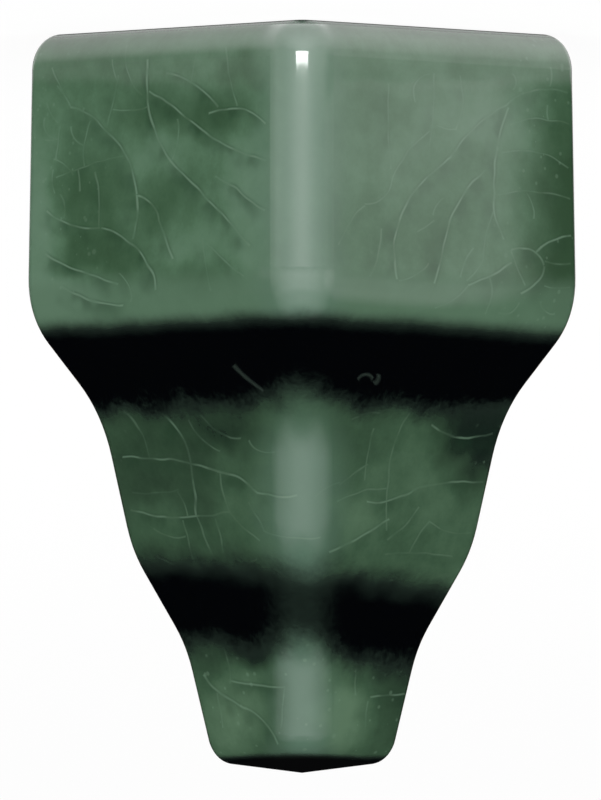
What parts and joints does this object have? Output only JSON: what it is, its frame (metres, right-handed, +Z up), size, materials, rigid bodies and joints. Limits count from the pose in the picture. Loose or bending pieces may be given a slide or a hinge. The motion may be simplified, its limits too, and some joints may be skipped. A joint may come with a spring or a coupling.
{
  "type": "cornice trim corner tile",
  "caption": "Glazed ceramic cornice trim for an outside corner: two stepped, coved show faces meet on a rounded arris over a hollow back.",
  "frame": {"origin": "under the middle of the overall box, on the plane of the flat top that the piece stands on", "axes": "+Z up, towards the narrow foot; +X and -Y out of the two show faces; -X and +Y out of the two end faces; the rounded arris looks between +X and -Y"},
  "size_m": [0.0403, 0.0403, 0.0748],
  "materials": {
    "crackle_glaze": "gloss"
  },
  "bodies": {
    "root": {"cornice_corner_tile": "crackle_glaze"}
  },
  "joints": []
}
